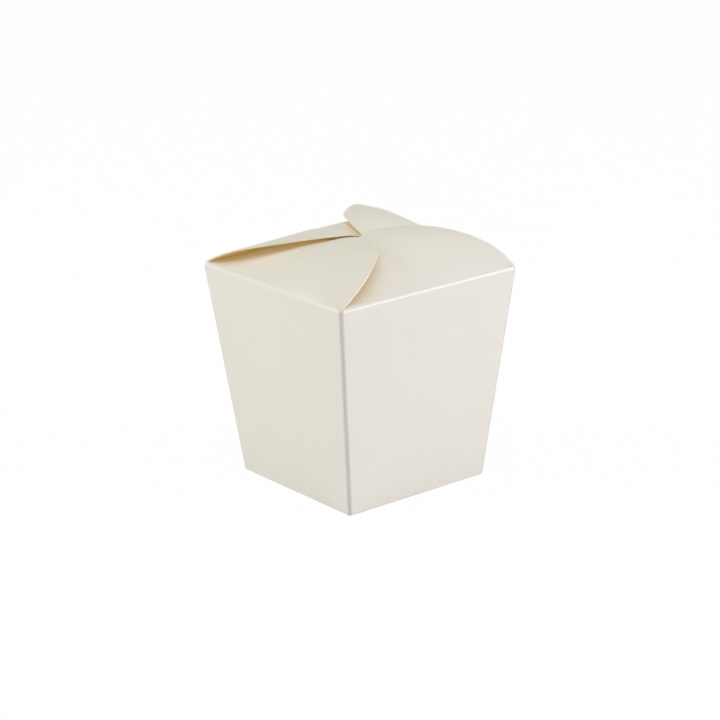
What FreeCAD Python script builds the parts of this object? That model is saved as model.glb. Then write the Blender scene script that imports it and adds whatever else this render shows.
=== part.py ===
import FreeCAD, Part
import os
from math import cos, pi, radians, sin, tan, tanh

import Sketcher
from FreeCAD import Placement, Rotation, Vector

# A tapered carton folded from one sheet of card.
# The origin is the middle of the base, on the surface that it stands on.
# The four rounded top flaps lap round in a ring: each lies over the next one,
# so every flap has an over end (above its neighbour) and an under end.

doc = FreeCAD.newDocument("FoodBox")
sheet = doc.addObject("Spreadsheet::Sheet", "Sizes")

# Sizes in millimetres and degrees. Each value is written once, here.
carton_sizes = {
    "TopWidth": 80.0,
    "BaseWidth": 62.5,
    "BodyHeight": 79.0,
    "BoardThickness": 0.45,
    "CornerRadius": 1.4,
    "CreaseRadius": 1.1,
}
closure_sizes = {
    "UsualRise": 38.0,
    "HingeEndGap": 0.7,
    "FlapReach": 41.3,
    "TipStep": 2.8,
    "TipSpread": 2.5,
}
# Each flap leaves its crease at a rise angle and turns down again by its curl
# on the way to the tip. Both change from the flap's middle to its over and
# under ends, in step with a power of the distance, which is the ease.
flap_sizes = {
    "FrontLeft": {"MidRise": 46.3, "OverRise": 28.6, "UnderRise": -3.1,
                  "MidCurl": 63.6, "OverCurl": 5.0, "UnderCurl": 12.3, "OverEase": 2.25},
    "FrontRight": {"MidRise": 43.7, "OverRise": 38.7, "UnderRise": -0.1,
                   "MidCurl": 54.9, "OverCurl": 59.3, "UnderCurl": -0.8, "OverEase": 2.21},
    "BackRight": {"MidRise": 56.9, "OverRise": 69.0, "UnderRise": -3.0,
                  "MidCurl": 83.3, "OverCurl": 144.0, "UnderCurl": 23.1, "OverEase": 1.91},
    "BackLeft": {"MidRise": 39.9, "OverRise": 37.8, "UnderRise": 5.4,
                 "MidCurl": 49.5, "OverCurl": 62.3, "UnderCurl": -11.4, "OverEase": 1.88},
}
bottom_sizes = {
    "BaseMargin": 3.0,
    "PanelSlit": 0.5,
    "PanelClearance": 0.6,
    "TonguePanelReach": 35.0,
    "TongueWidth": 28.0,
    "TongueReach": 14.0,
    "TongueRamp": 5.0,
    "MainPanelReach": 40.0,
    "NotchDepth": 13.0,
    "NotchClearance": 1.0,
    "SidePanelReach": 24.0,
    "SidePanelNeck": 15.0,
    "SidePanelSlant": 9.0,
    "LapWidth": 12.0,
    "LapSlant": 4.0,
    "LapEndGap": 2.0,
}
# Sizes that follow from the others, as formulas of the sheet.
derived_sizes = {
    "WallLean": "=atan((TopWidth - BaseWidth) / 2 / BodyHeight)",
    "RimDrop": "=CreaseRadius * tan((90 deg + WallLean - UsualRise * 1 deg) / 2)",
    "WallTop": "=BodyHeight - RimDrop",
    "WallWidth": "=BoardThickness / cos(WallLean)",
    "RimHalf": "=TopWidth / 2 - RimDrop * tan(WallLean)",
    "BaseHalf": "=BaseWidth / 2",
    "PanelHalf": "=BaseHalf - WallWidth - PanelClearance",
    "TonguePanelEdge": "=BaseHalf - TonguePanelReach",
    "MainPanelEdge": "=MainPanelReach - BaseHalf",
    "NotchEdge": "=MainPanelEdge - NotchDepth",
    "RampTop": "=NotchEdge + NotchClearance",
    "RampFoot": "=RampTop + TongueRamp",
    "TongueEnd": "=RampTop - TongueReach",
}
# Quarter turns of each side about the box axis, from the front right side.
side_turns = {"FrontRight": 0, "BackRight": 1, "BackLeft": 2, "FrontLeft": 3}

sheet_values = {}
for group in (carton_sizes, closure_sizes, bottom_sizes):
    sheet_values.update(group)
for side, sizes in flap_sizes.items():
    for name, value in sizes.items():
        sheet_values[side + name] = value
sheet_values.update(derived_sizes)
for row, (alias, value) in enumerate(sheet_values.items(), start=1):
    sheet.set("A%d" % row, alias)
    sheet.set("B%d" % row, str(value))
    sheet.setAlias("B%d" % row, alias)
doc.recompute()


def size(alias):
    return float(sheet.get(alias))


def edgesInRange(feature, low, high):
    """Names of the edges whose lowest and highest points are at two heights."""
    names = []
    for number, edge in enumerate(feature.Shape.Edges, start=1):
        levels = [vertex.Z for vertex in edge.Vertexes]
        if abs(min(levels) - low) < 1e-4 and abs(max(levels) - high) < 1e-4:
            names.append("Edge%d" % number)
    return names


def taperedBlock(name, lower, upper, corner, base_radius):
    """A tapered square block with round corners and a rounded base edge.

    Lower and upper are pairs of expressions: half width and level.
    """
    body = doc.addObject("PartDesign::Body", name)
    wedge = body.newObject("PartDesign::AdditiveWedge", name + "Wedge")
    # The wedge tapers along its own Y, which is turned to point up.
    wedge.Placement = Placement(Vector(0, 0, 0), Rotation(Vector(1, 0, 0), 90))
    wedge.setExpression("Placement.Base.z", lower[1])
    wedge.setExpression("Ymin", "0")
    wedge.setExpression("Ymax", "(%s) - (%s)" % (upper[1], lower[1]))
    for axis in "XZ":
        wedge.setExpression(axis + "min", "-(%s)" % lower[0])
        wedge.setExpression(axis + "max", lower[0])
        wedge.setExpression(axis + "2min", "-(%s)" % upper[0])
        wedge.setExpression(axis + "2max", upper[0])
    doc.recompute()
    foot = wedge.Shape.BoundBox.ZMin
    head = wedge.Shape.BoundBox.ZMax
    corners = body.newObject("PartDesign::Fillet", name + "Corners")
    corners.Base = (wedge, edgesInRange(wedge, foot, head))
    corners.setExpression("Radius", corner)
    body.Tip = corners
    doc.recompute()
    base_bend = body.newObject("PartDesign::Fillet", name + "BaseBend")
    base_bend.Base = (corners, edgesInRange(corners, foot, foot))
    base_bend.setExpression("Radius", base_radius)
    body.Tip = base_bend
    doc.recompute()
    return body


# The walls and base plate are a block less a cavity one board inside it.
block = taperedBlock(
    "Block", ("Sizes.BaseHalf", "0"), ("Sizes.RimHalf", "Sizes.WallTop"),
    "Sizes.CornerRadius", "Sizes.CreaseRadius")
cavity = taperedBlock(
    "Cavity",
    ("Sizes.BaseHalf - Sizes.WallWidth + Sizes.BoardThickness * tan(Sizes.WallLean)",
     "Sizes.BoardThickness"),
    ("Sizes.RimHalf - Sizes.WallWidth", "Sizes.WallTop"),
    "Sizes.CornerRadius - Sizes.BoardThickness", "Sizes.CreaseRadius - Sizes.BoardThickness")


def cutBox(name, x, y, length, width):
    """A box that cuts through the base plate, placed by expressions."""
    box = doc.addObject("Part::Box", name)
    box.setExpression("Length", length)
    box.setExpression("Width", width)
    box.setExpression("Height", "3 * Sizes.BoardThickness")
    box.setExpression("Placement.Base.x", x)
    box.setExpression("Placement.Base.y", y)
    box.setExpression("Placement.Base.z", "-Sizes.BoardThickness")
    return box


def polygonSketch(name, corners):
    """A closed sketch whose corners are placed by pairs of expressions."""
    sketch = doc.addObject("Sketcher::SketchObject", name)
    # It is drawn as a regular polygon first, and its corners then move to place.
    count = len(corners)
    turns = [2 * pi * i / count for i in range(count + 1)]
    drawn = [Vector(cos(turn), sin(turn), 0) * size("CornerRadius") for turn in turns]
    for start, end in zip(drawn, drawn[1:]):
        sketch.addGeometry(Part.LineSegment(start, end), False)
    for i in range(count):
        sketch.addConstraint(Sketcher.Constraint("Coincident", i, 2, (i + 1) % count, 1))
    for i, (x, y) in enumerate(corners):
        across = sketch.addConstraint(Sketcher.Constraint("DistanceX", -1, 1, i, 1, drawn[i].x))
        along = sketch.addConstraint(Sketcher.Constraint("DistanceY", -1, 1, i, 1, drawn[i].y))
        sketch.renameConstraint(across, "X%d" % i)
        sketch.renameConstraint(along, "Y%d" % i)
        sketch.setExpression("Constraints.X%d" % i, x)
        sketch.setExpression("Constraints.Y%d" % i, y)
    return sketch


def plate(name, sketch, thickness):
    """A sheet of card cut to a sketch and given its thickness."""
    solid = doc.addObject("Part::Extrusion", name)
    solid.Base = sketch
    solid.DirMode = "Normal"
    solid.Solid = True
    solid.setExpression("LengthFwd", thickness)
    return solid


# The lock bottom, seen from below: the tongue panel is the base plate's back
# part, the side panels lie on the plate's margin, the main panel on them, and
# the tongue goes up through the main panel's notch and lies on it.
window = cutBox("Window", "Sizes.BaseMargin - Sizes.BaseHalf", "Sizes.BaseMargin - Sizes.BaseHalf",
                "2 * (Sizes.BaseHalf - Sizes.BaseMargin)",
                "Sizes.TonguePanelEdge + Sizes.BaseHalf - Sizes.BaseMargin")
slit_width = "Sizes.TonguePanelReach - Sizes.BaseMargin"
left_slit = cutBox("LeftSlit", "Sizes.BaseMargin - Sizes.BaseHalf", "Sizes.TonguePanelEdge",
                   "Sizes.PanelSlit", slit_width)
right_slit = cutBox("RightSlit", "Sizes.BaseHalf - Sizes.BaseMargin - Sizes.PanelSlit",
                    "Sizes.TonguePanelEdge", "Sizes.PanelSlit", slit_width)
tongue_gap = cutBox("TongueGap", "-Sizes.TongueWidth / 2 - Sizes.PanelSlit", "Sizes.TonguePanelEdge",
                    "Sizes.TongueWidth + 2 * Sizes.PanelSlit",
                    "Sizes.RampFoot - Sizes.TonguePanelEdge")
openings = doc.addObject("Part::MultiFuse", "TrayOpenings")
openings.Shapes = [cavity, window, left_slit, right_slit, tongue_gap]
tray = doc.addObject("Part::Cut", "Tray")
tray.Base = block
tray.Tool = openings

notch_half = "(Sizes.TongueWidth / 2 + Sizes.NotchClearance)"
hinge_line = "(Sizes.BaseHalf - Sizes.BoardThickness / 2)"
main_outline = polygonSketch("MainOutline", [
    ("-Sizes.PanelHalf", "-" + hinge_line),
    ("Sizes.PanelHalf", "-" + hinge_line),
    ("Sizes.PanelHalf", "Sizes.MainPanelEdge"),
    (notch_half, "Sizes.MainPanelEdge"),
    (notch_half, "Sizes.NotchEdge"),
    ("-" + notch_half, "Sizes.NotchEdge"),
    ("-" + notch_half, "Sizes.MainPanelEdge"),
    ("-Sizes.PanelHalf", "Sizes.MainPanelEdge")])
main_outline.setExpression("Placement.Base.z", "2 * Sizes.BoardThickness")
main_panel = plate("MainPanel", main_outline, "Sizes.BoardThickness")

side_panels = []
for name, sign in (("LeftPanel", "-"), ("RightPanel", "")):
    outline = polygonSketch(name + "Outline", [
        (sign + hinge_line, "-Sizes.PanelHalf"),
        (sign + "(Sizes.BaseHalf - Sizes.SidePanelReach)", "Sizes.SidePanelSlant / 3 - Sizes.PanelHalf"),
        (sign + "(Sizes.BaseHalf - Sizes.SidePanelReach)", "Sizes.NotchEdge - Sizes.SidePanelSlant"),
        (sign + "(Sizes.BaseHalf - Sizes.SidePanelNeck)", "Sizes.NotchEdge"),
        (sign + "(Sizes.BaseHalf - Sizes.SidePanelNeck)", "Sizes.PanelHalf - Sizes.SidePanelSlant"),
        (sign + hinge_line, "Sizes.PanelHalf")])
    outline.setExpression("Placement.Base.z", "Sizes.BoardThickness")
    side_panels.append(plate(name, outline, "Sizes.BoardThickness"))

# The tongue's side profile, drawn with y across and z up.
tongue_profile = polygonSketch("TongueProfile", [
    ("Sizes.RampFoot", "0"),
    ("Sizes.RampFoot", "Sizes.BoardThickness"),
    ("Sizes.RampTop", "4 * Sizes.BoardThickness"),
    ("Sizes.TongueEnd", "4 * Sizes.BoardThickness"),
    ("Sizes.TongueEnd", "3 * Sizes.BoardThickness"),
    ("Sizes.RampTop", "3 * Sizes.BoardThickness")])
tongue_profile.Placement = Placement(Vector(0, 0, 0), Rotation(Vector(1, 1, 1), 120))
tongue_profile.setExpression("Placement.Base.x", "-Sizes.TongueWidth / 2")
tongue = plate("Tongue", tongue_profile, "Sizes.TongueWidth")

# The glue lap: it carries on past the hidden back corner and is stuck inside
# the back left wall. Its outline is drawn in the middle of that leaning wall,
# so it stands one board proud of the wall's inner face.
slope_length = "(Sizes.WallTop / cos(Sizes.WallLean))"
lap_corner = "(Sizes.BaseHalf - Sizes.WallWidth)"
lap_top = "(Sizes.WallTop - Sizes.LapEndGap) * tan(Sizes.WallLean)"
lap_foot = "Sizes.LapEndGap * tan(Sizes.WallLean)"
lap_outline = polygonSketch("LapOutline", [
    (lap_corner + " + " + lap_foot, "Sizes.LapEndGap"),
    (lap_corner + " + " + lap_top, slope_length + " - Sizes.LapEndGap"),
    (lap_corner + " + " + lap_top + " - Sizes.LapWidth",
     slope_length + " - Sizes.LapEndGap - Sizes.LapSlant"),
    (lap_corner + " + " + lap_foot + " - Sizes.LapWidth", "Sizes.LapEndGap + Sizes.LapSlant")])
lap_outline.Placement = Placement(Vector(0, 0, 0), Rotation(Vector(1, 0, 0), 90 - size("WallLean")))
lap_outline.setExpression("Placement.Base.y", "Sizes.BaseHalf - Sizes.WallWidth / 2")
lap = plate("GlueLap", lap_outline, "1.5 * Sizes.BoardThickness")
doc.recompute()

# The closure. A place on a flap is given by its distance u along the crease,
# towards the over end, and its distance along the card from the crease.
board = size("BoardThickness")
crease = size("CreaseRadius")
lean = radians(size("WallLean"))
drop = size("RimDrop")
hinge_half = size("TopWidth") / 2 - size("HingeEndGap")
flap_reach = size("FlapReach")
tip_step = size("TipStep")
tip_spread = size("TipSpread")
under_ease = 2.0
# The bent board is made this much wider and longer than the flap before it is cut.
trim = 2.0
bow_steps = 6
half_stations = 7
outline_steps = 18
# The rim crease bends about this point, seen along the crease.
bend_centre = (drop * tan(lean) + crease * cos(lean), crease * sin(lean) - drop)


def blendAlong(side, name, u):
    """A flap's angle at u in radians: its middle value, eased to the nearer end's."""
    share = abs(u) / hinge_half
    if u > 0:
        end, eased = "Over", share ** size(side + "OverEase")
    else:
        end, eased = "Under", share ** under_ease
    middle = size(side + "Mid" + name)
    return radians(middle + (size(side + end + name) - middle) * eased)


def flapPoint(side, u, run, depth):
    """Across and up from the rim edge, at a run along the card and a depth in it."""
    rise = blendAlong(side, "Rise", u)
    turned = blendAlong(side, "Curl", u) * run / flap_reach
    # The card runs along an arc, whose chord points half way through its turn.
    chord = run * sin(turned / 2) / (turned / 2) if turned else run
    across = bend_centre[0] - crease * sin(rise) + chord * cos(rise - turned / 2)
    up = bend_centre[1] + crease * cos(rise) + chord * sin(rise - turned / 2)
    across += depth * sin(rise - turned)
    up -= depth * cos(rise - turned)
    # Under one neighbour and over the other, the tip lies half a step low and high.
    up += tip_step / 2 * tanh(u / tip_spread) * (run / flap_reach) ** 2
    return across, up


def creasePoint(rise, depth, share):
    """A point of the rim crease, from the wall at share 0 to the flap at 1."""
    turn = pi / 2 + lean + (rise - pi / 2 - lean) * share
    radius = crease - depth
    return bend_centre[0] - radius * sin(turn), bend_centre[1] + radius * cos(turn)


def toSpace(u, across, up):
    return Vector(u, across - size("TopWidth") / 2, size("BodyHeight") + up)


def evenCurve(points):
    """A smooth curve through points; all curves of as many points share their knots."""
    curve = Part.BSplineCurve()
    last = len(points) - 1
    curve.interpolate(Points=points, Parameters=[i / last for i in range(len(points))])
    return curve.toShape()


def flapFace(side, u, depth):
    """Points of the crease and of the bow at u, on the face at a depth in the card."""
    rise = blendAlong(side, "Rise", u)
    foot = toSpace(u, drop * tan(lean) + depth / cos(lean), -drop)
    bend = [foot, toSpace(u, *creasePoint(rise, depth, 0.5)), toSpace(u, *creasePoint(rise, depth, 1))]
    length = flap_reach + trim
    bow = [toSpace(u, *flapPoint(side, u, length * i / bow_steps, depth)) for i in range(bow_steps + 1)]
    return bend, bow


def flapSection(side, u):
    """The card's section across the crease at u, from the wall's top edge."""
    outer_bend, outer_bow = flapFace(side, u, 0)
    inner_bend, inner_bow = flapFace(side, u, board)
    edges = [
        Part.Arc(*outer_bend).toShape(),
        evenCurve(outer_bow),
        Part.LineSegment(outer_bow[-1], inner_bow[-1]).toShape(),
        evenCurve(inner_bow[::-1]),
        Part.Arc(*inner_bend[::-1]).toShape(),
        Part.LineSegment(inner_bend[0], outer_bend[0]).toShape()]
    return Part.Wire(edges)


def flapBoard(side):
    """The bent card of one flap, ruled from section to section, before its edge is cut."""
    spacing = (hinge_half + trim) / half_stations
    sections = [flapSection(side, i * spacing) for i in range(-half_stations, half_stations + 1)]
    return Part.makeLoft(sections, True, True)


def flapOutline(side):
    """The die-cut half round edge as it falls in plan, closed behind the crease."""
    points = []
    for i in range(outline_steps + 1):
        turn = pi * i / outline_steps
        u = hinge_half * cos(turn)
        across, up = flapPoint(side, u, flap_reach * sin(turn), 0)
        points.append(Vector(u, across - size("TopWidth") / 2, 0))
    edge = Part.BSplineCurve()
    edge.interpolate(points)
    behind = -size("TopWidth") / 2 - trim
    back_over = Vector(hinge_half, behind, 0)
    back_under = Vector(-hinge_half, behind, 0)
    return Part.Wire([
        edge.toShape(),
        Part.LineSegment(points[-1], back_under).toShape(),
        Part.LineSegment(back_under, back_over).toShape(),
        Part.LineSegment(back_over, points[0]).toShape()])


flaps = []
for side, quarter_turns in side_turns.items():
    bent = doc.addObject("Part::Feature", side + "Board")
    bent.Shape = flapBoard(side)
    outline = doc.addObject("Part::Feature", side + "Outline")
    outline.Shape = flapOutline(side)
    die = doc.addObject("Part::Extrusion", side + "Die")
    die.Base = outline
    die.Dir = Vector(0, 0, 1)
    die.DirMode = "Custom"
    die.Solid = True
    die.setExpression("LengthFwd", "2 * Sizes.BodyHeight")
    flap = doc.addObject("Part::Common", side + "Flap")
    flap.Base = bent
    flap.Tool = die
    flap.Placement = Placement(Vector(0, 0, 0), Rotation(Vector(0, 0, 1), 90 * quarter_turns))
    flaps.append(flap)
doc.recompute()

carton = doc.addObject("Part::MultiFuse", "FoldedCarton")
carton.Shapes = [tray, main_panel] + side_panels + [tongue, lap] + flaps
carton.Label = "folded_carton"
carton.Placement = Placement(Vector(0, 0, 0), Rotation(Vector(0, 0, 1), 0))
doc.recompute()

failed = [obj.Name for obj in doc.Objects if "Invalid" in obj.State or "Error" in obj.State]
if failed:
    raise RuntimeError("not built: %s" % ", ".join(failed))
shape = carton.Shape
if shape.isNull() or not shape.isValid():
    raise RuntimeError("folded_carton has no valid shape")

os.makedirs("parts", exist_ok=True)
shape.exportStep("parts/%s.step" % carton.Label)
print("folded_carton: %d solid, %.0f cubic mm, box %s" % (len(shape.Solids), shape.Volume, shape.BoundBox))
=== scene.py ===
from math import atan, cos, pi, radians, sin, sqrt, tan, tanh

import bpy
from mathutils import Matrix, Vector


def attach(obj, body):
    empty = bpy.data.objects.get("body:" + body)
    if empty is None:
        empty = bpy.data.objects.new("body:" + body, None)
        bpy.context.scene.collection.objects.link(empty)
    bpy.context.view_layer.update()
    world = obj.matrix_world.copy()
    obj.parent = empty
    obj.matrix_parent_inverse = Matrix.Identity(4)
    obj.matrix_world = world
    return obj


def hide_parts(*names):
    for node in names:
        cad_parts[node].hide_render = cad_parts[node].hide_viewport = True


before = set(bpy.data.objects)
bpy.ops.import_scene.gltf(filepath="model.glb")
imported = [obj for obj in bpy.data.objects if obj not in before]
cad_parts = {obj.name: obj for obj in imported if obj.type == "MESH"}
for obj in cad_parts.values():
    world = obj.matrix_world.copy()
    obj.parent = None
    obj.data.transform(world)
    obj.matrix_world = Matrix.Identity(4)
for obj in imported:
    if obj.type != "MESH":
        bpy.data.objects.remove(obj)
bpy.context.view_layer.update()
print("frame loaded")

mm = 0.001


class Wire:
    # One socket of a material's node tree. Sums and products of wires add Math nodes.

    def __init__(self, tree, socket=None):
        self.tree = tree
        self.socket = socket

    def add(self, kind, settings=None, feeds=None, out=0):
        # Settings are set first, then each feed is a value or a wire for a socket.
        node = self.tree.nodes.new(kind)
        for name, value in (settings or {}).items():
            if name == "stops":
                for stop, (place, tint) in zip(node.color_ramp.elements, value):
                    stop.position = place
                    stop.color = (*tint, 1)
            else:
                setattr(node, name, value)
        for name, value in (feeds or {}).items():
            if isinstance(value, Wire):
                self.tree.links.new(value.socket, node.inputs[name])
            else:
                node.inputs[name].default_value = value
        return Wire(self.tree, node.outputs[out])

    def maths(self, operation, first, second=0.0):
        return self.add("ShaderNodeMath", {"operation": operation}, {0: first, 1: second})

    def __add__(self, other):
        return self.maths("ADD", self, other)

    def __sub__(self, other):
        return self.maths("SUBTRACT", self, other)

    def __rsub__(self, other):
        return self.maths("SUBTRACT", other, self)

    def __mul__(self, other):
        return self.maths("MULTIPLY", self, other)

    __radd__ = __add__
    __rmul__ = __mul__


def newMaterial(name):
    material = bpy.data.materials.new(name)
    material.use_nodes = True
    material.node_tree.nodes.clear()
    return material, Wire(material.node_tree)


def endMaterial(wire, surface):
    output = wire.tree.nodes.new("ShaderNodeOutputMaterial")
    wire.tree.links.new(surface.socket, output.inputs["Surface"])


# What a user would change about the folded sheet, in millimetres and degrees.
sheetSizes = {
    "topWidth": 80.0,
    "baseWidth": 62.5,
    "height": 79.0,
    "board": 0.45,
    "crease": 1.8,
    "usualRise": 38.0,
    "hingeGap": 0.7,
    "reach": 41.3,
    "tipStep": 2.8,
    "tipSpread": 2.5,
    "columns": 72,
    "creaseRows": 8,
    "flapRows": 36,
    "footLap": 0.3,
    "cornerSides": 32,
    "flapMerge": 0.001,
    "bodyMerge": 0.002,
    "smoothAngle": 35.0,
}

# What a user would change about the coated side of the card.
coatedLook = {
    "tint": (0.800, 0.770, 0.680),
    "cloudTint": (0.785, 0.752, 0.655),
    "cloudScale": 60.0,
    "cloudDetail": 4.0,
    "grainScale": 2600.0,
    "grainDetail": 3.0,
    "grainStrength": 0.25,
    "grainDepth": 0.012 * mm,
    # Painted shade along the upright folds: its colour, and the distances over which it fades out.
    "creaseShadeTint": (0.675, 0.65, 0.58),
    "creaseShadeNear": 0.4 * mm,
    "creaseShadeFar": 1.9 * mm,
    "roughness": 0.38,
    "grainRoughness": 0.06,
    "ior": 1.48,
    "coat": 0.25,
    "coatRoughness": 0.30,
}


def makeCoatedCard(look, sizes):
    material, wire = newMaterial("coatedCard")
    place = wire.add("ShaderNodeTexCoord", out="Object")
    cloud = wire.add("ShaderNodeTexNoise", {},
                     {"Vector": place, "Scale": look["cloudScale"], "Detail": look["cloudDetail"]})
    grain = wire.add("ShaderNodeTexNoise", {},
                     {"Vector": place, "Scale": look["grainScale"], "Detail": look["grainDetail"]})
    tint = wire.add("ShaderNodeMix", {"data_type": "RGBA"},
                    {0: cloud, 6: (*look["tint"], 1), 7: (*look["cloudTint"], 1)}, 2)
    # The outside is painted darker along the four upright folds, a painted shade in the creases,
    # where the lesser of the two distances from the box's axis is about half the box's width.
    acrossX, acrossY, up = (wire.add("ShaderNodeSeparateXYZ", {}, {"Vector": place}, axis)
                            for axis in range(3))
    least = wire.maths("MINIMUM", wire.maths("ABSOLUTE", acrossX), wire.maths("ABSOLUTE", acrossY))
    gain = (sizes["topWidth"] - sizes["baseWidth"]) / 2 / sizes["height"]
    halfWidth = sizes["baseWidth"] / 2 * mm + gain * up
    creaseShade = wire.add("ShaderNodeMapRange", {"interpolation_type": "SMOOTHSTEP"},
                    {"Value": halfWidth - least, "From Min": look["creaseShadeNear"], "From Max": look["creaseShadeFar"],
                     "To Min": 1.0, "To Max": 0.0})
    tint = wire.add("ShaderNodeMix", {"data_type": "RGBA"},
                    {0: creaseShade, 6: tint, 7: (*look["creaseShadeTint"], 1)}, 2)
    relief = wire.add("ShaderNodeBump", {},
                      {"Height": grain, "Strength": look["grainStrength"], "Distance": look["grainDepth"]})
    surface = wire.add("ShaderNodeBsdfPrincipled", {}, {
        "Base Color": tint,
        "Roughness": look["roughness"] + look["grainRoughness"] * grain,
        "Normal": relief,
        "IOR": look["ior"],
        "Coat Weight": look["coat"],
        "Coat Roughness": look["coatRoughness"],
    })
    endMaterial(wire, surface)
    return material


# What a user would change about the uncoated side of the card, and about its cut edge.
# The glow makes the uncoated side give off a little warm light. It was set by comparing the gap
# under the flaps with the photograph, and it isn't a measured property of the card.
rawLook = {"tint": (0.80, 0.64, 0.38), "fibreTint": (0.74, 0.58, 0.32), "fibreScale": 900.0, "glow": 0.21}
edgeLook = {"tint": (0.88, 0.82, 0.60), "fibreTint": (0.84, 0.77, 0.54), "fibreScale": 2600.0, "glow": 0.0}
fibreFeel = {
    "glowTint": (1.0, 0.68, 0.29),
    "detail": 5.0,
    "strength": 0.3,
    "depth": 0.02 * mm,
    "roughness": 0.82,
    "ior": 1.4,
}


def makeRawCard(name, look, feel):
    material, wire = newMaterial(name)
    place = wire.add("ShaderNodeTexCoord", out="Object")
    fibres = wire.add("ShaderNodeTexNoise", {},
                      {"Vector": place, "Scale": look["fibreScale"], "Detail": feel["detail"]})
    tint = wire.add("ShaderNodeMix", {"data_type": "RGBA"},
                    {0: fibres, 6: (*look["tint"], 1), 7: (*look["fibreTint"], 1)}, 2)
    relief = wire.add("ShaderNodeBump", {},
                      {"Height": fibres, "Strength": feel["strength"], "Distance": feel["depth"]})
    surface = wire.add("ShaderNodeBsdfPrincipled", {}, {
        "Base Color": tint,
        "Roughness": feel["roughness"],
        "Normal": relief,
        "IOR": feel["ior"],
        "Emission Color": (*feel["glowTint"], 1),
        "Emission Strength": look["glow"],
    })
    endMaterial(wire, surface)
    return material


# Each flap's rise at the crease and its curl to the tip, at five even stations of its hinge
# from the under end to the over end.
flapShapes = {
    "frontRightFlap": {"turn": 0, "rise": (2.2, 32.9, 42.7, 47.6, 34.7),
                       "curl": (10.6, 39.9, 55.3, 67.1, 58.5)},
    "backRightFlap": {"turn": 90, "rise": (0.4, 45.2, 52.7, 63.3, 75.6),
                      "curl": (45.5, 73.2, 77.0, 99.0, 176.3)},
    "backLeftFlap": {"turn": 180, "rise": (5.4, 35.4, 37.3, 33.2, 31.3),
                     "curl": (0.1, 40.6, 45.8, 37.2, 40.6)},
    "frontLeftFlap": {"turn": 270, "rise": (0.5, 32.1, 43.5, 53.4, 32.0),
                      "curl": (14.5, 50.7, 59.5, 79.0, 24.8)},
}


def angleAlong(stations, share):
    # A smooth curve through the stations, at a share from -1, the under end, to 1, the over end.
    last = len(stations) - 1
    place = (share + 1) / 2 * last
    before = min(int(place), last - 1)
    part = place - before

    def slopeAt(station):
        low, high = max(station - 1, 0), min(station + 1, last)
        return (stations[high] - stations[low]) / (high - low)

    fromHere = (1 + 2 * part) * stations[before] + part * slopeAt(before)
    fromNext = (3 - 2 * part) * stations[before + 1] - (1 - part) * slopeAt(before + 1)
    return radians((1 - part) ** 2 * fromHere + part ** 2 * fromNext)


def rimCrease(sizes):
    # The walls' lean, how far the crease starts below the rim, and the middle of its bend.
    lean = atan((sizes["topWidth"] - sizes["baseWidth"]) / 2 / sizes["height"])
    bend = sizes["crease"]
    drop = bend * tan((pi / 2 + lean - radians(sizes["usualRise"])) / 2)
    middleIn, middleUp = drop * tan(lean) + bend * cos(lean), bend * sin(lean) - drop
    return {"lean": lean, "drop": drop, "in": middleIn, "up": middleUp}


def sheetPoint(sizes, shape, across, row):
    # A point of a flap's outer face: across is its place along the hinge, and rows
    # start on the wall, go round the crease and then over the flap to its cut edge.
    rim = rimCrease(sizes)
    bend = sizes["crease"]
    hinge = sizes["topWidth"] / 2 - sizes["hingeGap"]
    place = hinge * sin(pi / 2 * across)
    past = max(0, abs(place) - (sizes["topWidth"] / 2 - rim["in"]))
    centreIn = rim["in"] + bend - sqrt(bend ** 2 - past ** 2)  # the ends follow the rounded corner
    rise = angleAlong(shape["rise"], place / hinge)
    if row == 0:
        inward = centreIn - bend * cos(rim["lean"]) + sizes["footLap"] * tan(rim["lean"])
        return place, inward, -rim["drop"] - sizes["footLap"]
    if row <= sizes["creaseRows"] + 1:
        upright = pi / 2 + rim["lean"]
        turn = upright + (rise - upright) * (row - 1) / sizes["creaseRows"]
        return place, centreIn - bend * sin(turn), rim["up"] + bend * cos(turn)
    run = sizes["reach"] * cos(pi / 2 * across) * (row - sizes["creaseRows"] - 1) / sizes["flapRows"]
    turned = angleAlong(shape["curl"], place / hinge) * run / sizes["reach"]
    chord = run * sin(turned / 2) / (turned / 2) if turned else run
    inward = centreIn - bend * sin(rise) + chord * cos(rise - turned / 2)
    up = rim["up"] + bend * cos(rise) + chord * sin(rise - turned / 2)
    up += sizes["tipStep"] / 2 * tanh(place / sizes["tipSpread"]) * (run / sizes["reach"]) ** 2
    return place, inward, up


def makeFlap(name, sizes, shape, finishes):
    bpy.ops.object.select_all(action="DESELECT")
    rows = 1 + sizes["creaseRows"] + sizes["flapRows"]
    bpy.ops.mesh.primitive_grid_add(x_subdivisions=sizes["columns"], y_subdivisions=rows, size=2)
    flap = bpy.context.object
    flap.name = name
    turn = Matrix.Rotation(radians(shape["turn"]), 3, "Z")
    for vertex in flap.data.vertices:
        row = round((vertex.co.y + 1) / 2 * rows)
        along, inward, up = sheetPoint(sizes, shape, vertex.co.x, row)
        corner = Vector((along, inward - sizes["topWidth"] / 2, sizes["height"] + up))
        vertex.co = turn @ (corner * mm)
    bpy.ops.object.mode_set(mode="EDIT")
    bpy.ops.mesh.select_all(action="SELECT")
    bpy.ops.mesh.remove_doubles(threshold=sizes["flapMerge"] * mm)
    bpy.ops.object.mode_set(mode="OBJECT")
    for finish in finishes:
        flap.data.materials.append(finish)
    card = flap.modifiers.new("card", "SOLIDIFY")
    card.thickness = sizes["board"] * mm
    card.offset = -1
    card.material_offset_rim = 1
    card.material_offset = 2
    bpy.ops.object.modifier_apply(modifier="card")
    return flap


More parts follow.
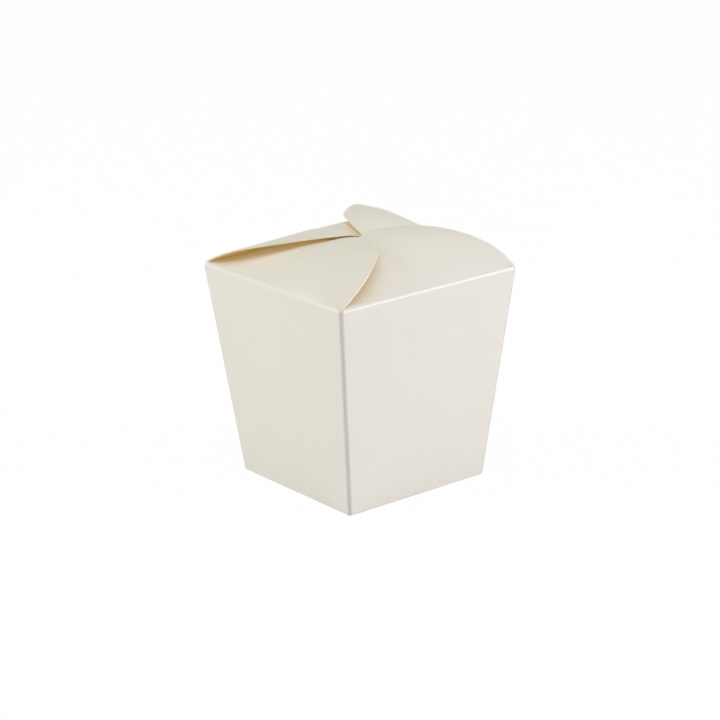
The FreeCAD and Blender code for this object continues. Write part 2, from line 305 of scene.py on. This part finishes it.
def makeCornerFold(sizes, sideX, sideY):
    # The card rounds over where two rim creases meet, as a part of a ball with its inner side cut off.
    rim = rimCrease(sizes)
    out = sizes["topWidth"] / 2 - rim["in"]
    middle = Vector((sideX * out, sideY * out, sizes["height"] + rim["up"])) * mm
    bpy.ops.object.select_all(action="DESELECT")
    bpy.ops.mesh.primitive_uv_sphere_add(segments=sizes["cornerSides"], ring_count=sizes["cornerSides"] // 2,
                                         radius=sizes["crease"] * mm, location=middle)
    corner = bpy.context.object
    bpy.ops.object.transform_apply(location=True)
    bpy.ops.object.mode_set(mode="EDIT")
    bpy.ops.mesh.select_all(action="SELECT")
    bpy.ops.mesh.bisect(plane_co=middle, plane_no=(-sideX, -sideY, 0), clear_outer=True, use_fill=True)
    bpy.ops.object.mode_set(mode="OBJECT")
    return corner


def makeBody(sizes):
    # The walls and the lock bottom keep the solid's own shape, up to just under the rim.
    bpy.ops.object.select_all(action="DESELECT")
    body = bpy.data.objects.new("wallsAndBottom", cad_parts["folded_carton"].data.copy())
    bpy.context.scene.collection.objects.link(body)
    bpy.context.view_layer.objects.active = body
    body.select_set(True)
    level = (sizes["height"] - rimCrease(sizes)["drop"] - sizes["footLap"]) * mm
    bpy.ops.object.mode_set(mode="EDIT")
    bpy.ops.mesh.select_all(action="SELECT")
    bpy.ops.mesh.remove_doubles(threshold=sizes["bodyMerge"] * mm)
    bpy.ops.mesh.select_all(action="SELECT")
    bpy.ops.mesh.bisect(plane_co=(0, 0, level), plane_no=(0, 0, 1), clear_outer=True)
    bpy.ops.mesh.select_all(action="DESELECT")
    bpy.ops.object.mode_set(mode="OBJECT")
    near = sizes["bodyMerge"] / 2 * mm
    for edge in body.data.edges:  # the two open loops of the cut
        edge.select = all(abs(body.data.vertices[i].co.z - level) < near for i in edge.vertices)
    bpy.ops.object.mode_set(mode="EDIT")
    bpy.ops.mesh.bridge_edge_loops()
    bpy.ops.object.mode_set(mode="OBJECT")
    middle = Vector((0, 0, sizes["height"] / 2 * mm))
    for face in body.data.polygons:
        face.material_index = 2 if face.normal.dot(face.center - middle) < 0 else 0
    return body


# The finishes by number: 0 outside, 1 the cut edge, 2 inside.
finishes = (makeCoatedCard(coatedLook, sheetSizes), makeRawCard("cutEdge", edgeLook, fibreFeel),
            makeRawCard("rawCard", rawLook, fibreFeel))
flaps = [makeFlap(name, sheetSizes, shape, finishes) for name, shape in flapShapes.items()]
corners = [makeCornerFold(sheetSizes, sideX, sideY) for sideX in (-1, 1) for sideY in (-1, 1)]
body = makeBody(sheetSizes)
body.data.materials.clear()
for part in [body] + corners:
    for finish in finishes:
        part.data.materials.append(finish)
bpy.ops.object.select_all(action="DESELECT")
for part in [body] + flaps + corners:
    part.select_set(True)
bpy.context.view_layer.objects.active = body
bpy.ops.object.join()
carton = bpy.context.object
carton.name = "foldedCard"
bpy.ops.object.shade_smooth_by_angle(angle=radians(sheetSizes["smoothAngle"]))
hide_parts("folded_carton")
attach(carton, "root")
print("carton folded")

# The stage: a white floor that keeps a soft shadow, and a white surround.
stageSizes = {"floorHalf": 3.0, "whiteShare": 0.98, "floorTint": (0.9, 0.9, 0.9), "skyLevel": 0.06}


def makeFloor(sizes):
    bpy.ops.object.select_all(action="DESELECT")
    bpy.ops.mesh.primitive_plane_add(size=2 * sizes["floorHalf"], location=(0, 0, 0))
    floor = bpy.context.object
    floor.name = "floor"
    material, wire = newMaterial("whiteFloor")
    seen = wire.add("ShaderNodeLightPath", out="Is Camera Ray")
    mirrored = wire.add("ShaderNodeLightPath", out="Is Glossy Ray")
    through = wire.add("ShaderNodeLightPath", out="Is Transmission Ray")
    lit = wire.add("ShaderNodeBsdfDiffuse", {}, {"Color": (*sizes["floorTint"], 1)})
    white = wire.add("ShaderNodeEmission", {}, {"Color": (1, 1, 1, 1), "Strength": 1.0})
    share = sizes["whiteShare"] * (seen + mirrored + through)
    endMaterial(wire, wire.add("ShaderNodeMixShader", {}, {0: share, 1: lit, 2: white}))
    floor.data.materials.append(material)


def makeWorld(skyLevel):
    # The sky is white to the camera and weak on the box.
    world = bpy.data.worlds.new("studio")
    world.use_nodes = True
    world.node_tree.nodes.clear()
    wire = Wire(world.node_tree)
    seen = wire.add("ShaderNodeLightPath", out="Is Camera Ray")
    level = skyLevel + (1 - skyLevel) * seen
    sky = wire.add("ShaderNodeBackground", {}, {"Color": (1, 1, 1, 1), "Strength": level})
    output = world.node_tree.nodes.new("ShaderNodeOutputWorld")
    world.node_tree.links.new(sky.socket, output.inputs["Surface"])
    bpy.context.scene.world = world


# Each lamp: where it stands as azimuth, elevation and distance, its width, power and tint.
lamps = {
    "rightPanel": {"azimuth": 40, "elevation": 15, "distance": 1.3, "width": 0.5, "power": 9.4,
                   "tint": (1.0, 1.0, 1.14)},
    "leftPanel": {"azimuth": -122, "elevation": 22, "distance": 1.3, "width": 0.9, "power": 8.8,
                  "tint": (1.0, 1.0, 1.04)},
    "backPanel": {"azimuth": 142, "elevation": 32, "distance": 2.2, "width": 2.8, "power": 12.0,
                  "tint": (1.0, 0.97, 0.75)},
    "topPanel": {"azimuth": -40, "elevation": 80, "distance": 1.6, "width": 1.8, "power": 16.5,
                 "tint": (1.0, 1.0, 0.98)},
    "frontPanel": {"azimuth": -38, "elevation": 20, "distance": 1.5, "width": 0.9, "power": 1.8,
                   "tint": (1.0, 1.0, 0.9)},
}


def lookFrom(azimuth, elevation):
    # The direction from the object to a place seen at these angles.
    around, up = radians(azimuth), radians(elevation)
    return Vector((sin(around) * cos(up), -cos(around) * cos(up), sin(up)))


def makeLamps(lamps, centre):
    for name, lamp in lamps.items():
        light = bpy.data.lights.new(name, "AREA")
        light.shape = "SQUARE"
        light.size = lamp["width"]
        light.energy = lamp["power"]
        light.color = lamp["tint"]
        stand = bpy.data.objects.new(name, light)
        bpy.context.scene.collection.objects.link(stand)
        direction = lookFrom(lamp["azimuth"], lamp["elevation"])
        stand.location = centre + direction * lamp["distance"]
        stand.rotation_mode = "QUATERNION"
        stand.rotation_quaternion = direction.to_track_quat("Z", "Y")


# The camera, as the photograph was taken. The aim point falls a little off the frame's middle.
cameraView = {
    "azimuth": -38.41, "elevation": 18.82, "roll": -1.2, "distance": 0.9148,
    "lens": 126.4, "sensor": 36.0,
    "aimHeight": 0.03957, "frameSide": 720, "aimColumn": 361.1, "aimRow": 369.5,
}


def makeCamera(view):
    back = lookFrom(view["azimuth"], view["elevation"])
    level = Vector((cos(radians(view["azimuth"])), sin(radians(view["azimuth"])), 0))
    upright = back.cross(level)
    roll = radians(view["roll"])
    right = level * cos(roll) + upright * sin(roll)
    up = upright * cos(roll) - level * sin(roll)
    data = bpy.data.cameras.new("camera")
    data.lens = view["lens"]
    data.sensor_width = view["sensor"]
    data.shift_x = (view["frameSide"] / 2 - view["aimColumn"]) / view["frameSide"]
    data.shift_y = (view["aimRow"] - view["frameSide"] / 2) / view["frameSide"]
    camera = bpy.data.objects.new("camera", data)
    bpy.context.scene.collection.objects.link(camera)
    place = Vector((0, 0, view["aimHeight"])) + back * view["distance"]
    turn = Matrix((right, up, back)).transposed()
    camera.matrix_world = Matrix.Translation(place) @ turn.to_4x4()
    bpy.context.scene.camera = camera


makeFloor(stageSizes)
makeWorld(stageSizes["skyLevel"])
makeLamps(lamps, Vector((0, 0, cameraView["aimHeight"])))
makeCamera(cameraView)
bpy.context.scene.view_settings.view_transform = "Standard"
print("stage, lamps and camera set")
